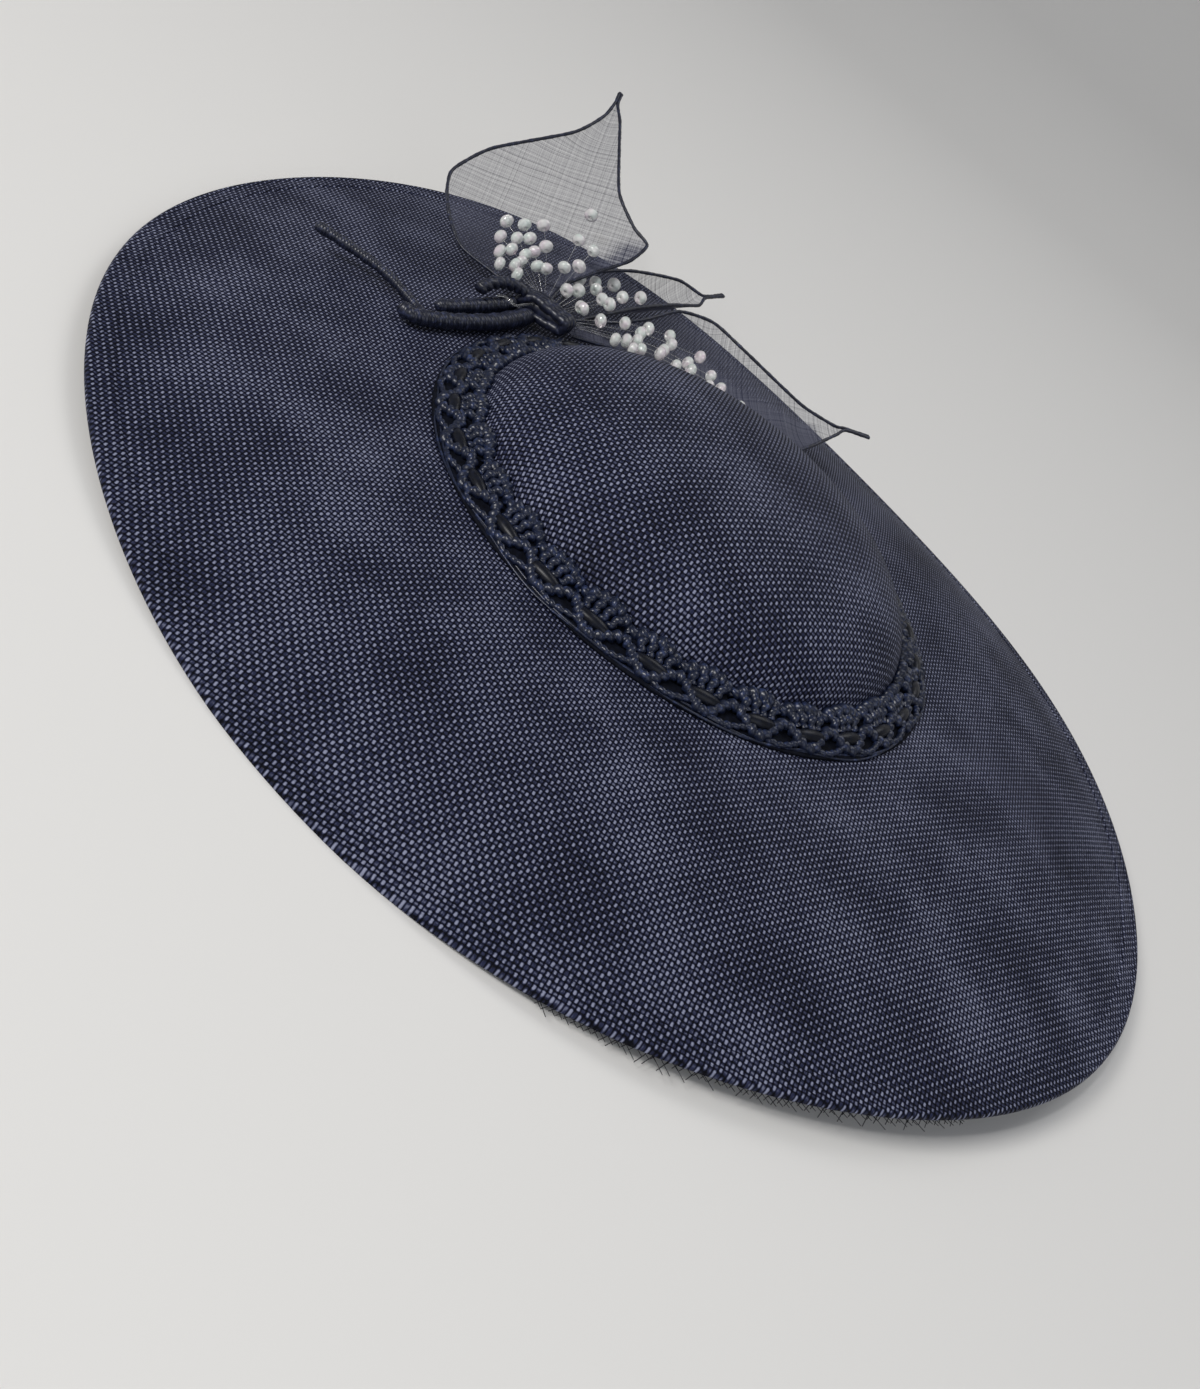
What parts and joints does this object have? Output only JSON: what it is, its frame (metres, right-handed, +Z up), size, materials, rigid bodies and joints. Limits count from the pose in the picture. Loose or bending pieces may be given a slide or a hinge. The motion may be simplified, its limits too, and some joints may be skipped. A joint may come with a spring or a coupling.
{
  "type": "saucer fascinator",
  "caption": "Wide shallow saucer hat of woven straw with a low crown, a scalloped braid and a side trim of sheer leaves, bead sprays and wound stems.",
  "frame": {"origin": "middle of the hat's box, on the surface that the rim rests on", "axes": "+Z up through the crown, +Y to the side of the trim's leaves, +X to the side away from the trim's tendril"},
  "size_m": [0.42, 0.42, 0.0787],
  "materials": {
    "straw": "navy plain-weave sinamay straw, slightly glossy threads",
    "gimp": "dark navy ridged gimp cord with satin pads",
    "organza": "sheer navy organza with satin-stitched edges",
    "beads": "clear rondelle beads with a faint rainbow coat",
    "wound_thread": "glossy dark navy wound thread",
    "satin": "dark navy satin tape",
    "net": "fine black net",
    "comb_plastic": "plain dark moulded plastic"
  },
  "bodies": {
    "root": {"brim": "straw", "crown": "straw", "braid": "gimp", "leaf_1": "organza", "leaf_2": "organza", "leaf_3": "organza", "spray_1": "beads", "spray_2": "beads", "spray_3": "beads", "stem_lower": "wound_thread", "stem_upper": "wound_thread", "tendril": "wound_thread", "binding": "satin", "under_net": "net", "comb": "comb_plastic"}
  },
  "joints": []
}
